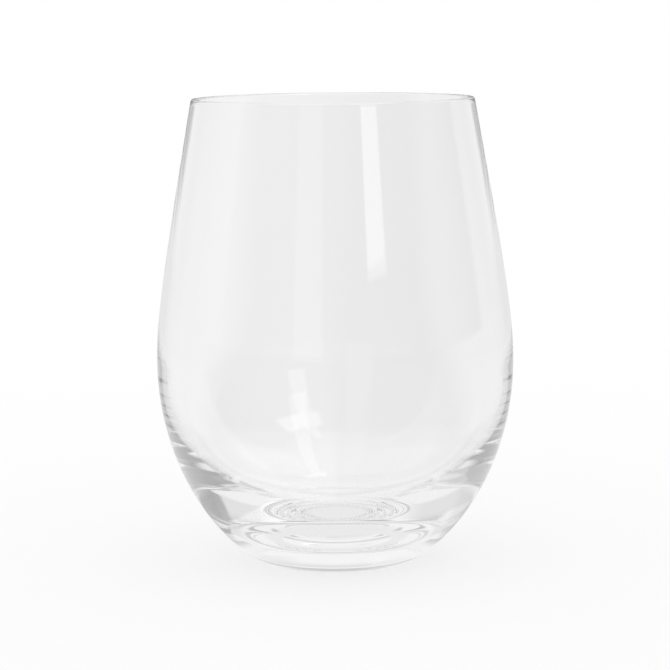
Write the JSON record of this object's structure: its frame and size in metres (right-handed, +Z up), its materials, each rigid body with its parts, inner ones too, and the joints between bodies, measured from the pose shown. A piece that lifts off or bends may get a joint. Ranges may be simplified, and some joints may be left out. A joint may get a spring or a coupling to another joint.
{
  "type": "stemless wine glass",
  "caption": "Stemless wine glass: an egg-shaped bowl of clear glass that narrows to a fire-polished rim and stands on its own thick, rounded base.",
  "frame": {"origin": "centre of the flat ring that the glass stands on, at table level", "axes": "+Z up along the axis of revolution, from the base to the open rim; X and Y are alike"},
  "size_m": [0.0922, 0.0922, 0.12],
  "materials": {
    "clear_glass": "clear, smooth, fire-polished"
  },
  "bodies": {
    "root": {"wine_glass": "clear_glass"}
  },
  "joints": []
}
